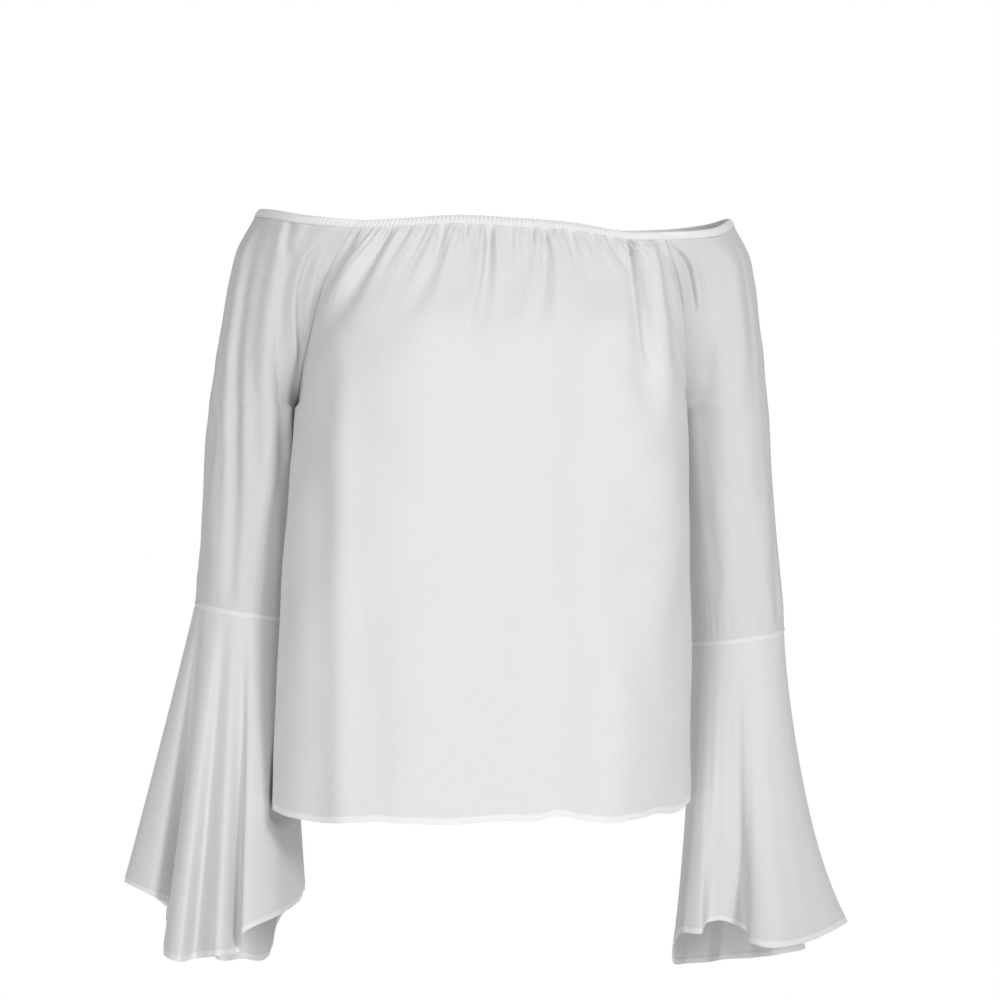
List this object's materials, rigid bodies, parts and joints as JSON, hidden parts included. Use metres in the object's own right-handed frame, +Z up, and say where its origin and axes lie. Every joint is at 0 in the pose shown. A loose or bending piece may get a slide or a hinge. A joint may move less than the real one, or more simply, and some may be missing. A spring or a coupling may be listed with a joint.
{
  "type": "off-shoulder top",
  "caption": "Off-shoulder crepe top in worn shape: elastic ruched neckline, boxy hollow body, long sleeves ending in draped bell flounces.",
  "frame": {"origin": "middle of the neckline, level with the middle of the casing's height", "axes": "+X to the wearer's left, +Y to the wearer's back, +Z up"},
  "size_m": [0.6711, 0.2738, 0.7087],
  "materials": {
    "front_crepe": "matt white crepe with a fine grain",
    "back_crepe": "matt white crepe with a fine grain",
    "sleeve_right_crepe": "matt white crepe with a fine grain",
    "sleeve_left_crepe": "matt white crepe with a fine grain",
    "flounce_right_crepe": "matt white crepe with a fine grain",
    "flounce_left_crepe": "matt white crepe with a fine grain",
    "casing_crepe": "matt white crepe with a fine grain"
  },
  "bodies": {
    "root": {"front": "front_crepe", "back": "back_crepe", "sleeve_right": "sleeve_right_crepe", "sleeve_left": "sleeve_left_crepe", "flounce_right": "flounce_right_crepe", "flounce_left": "flounce_left_crepe", "neck_casing": "casing_crepe"}
  },
  "joints": []
}
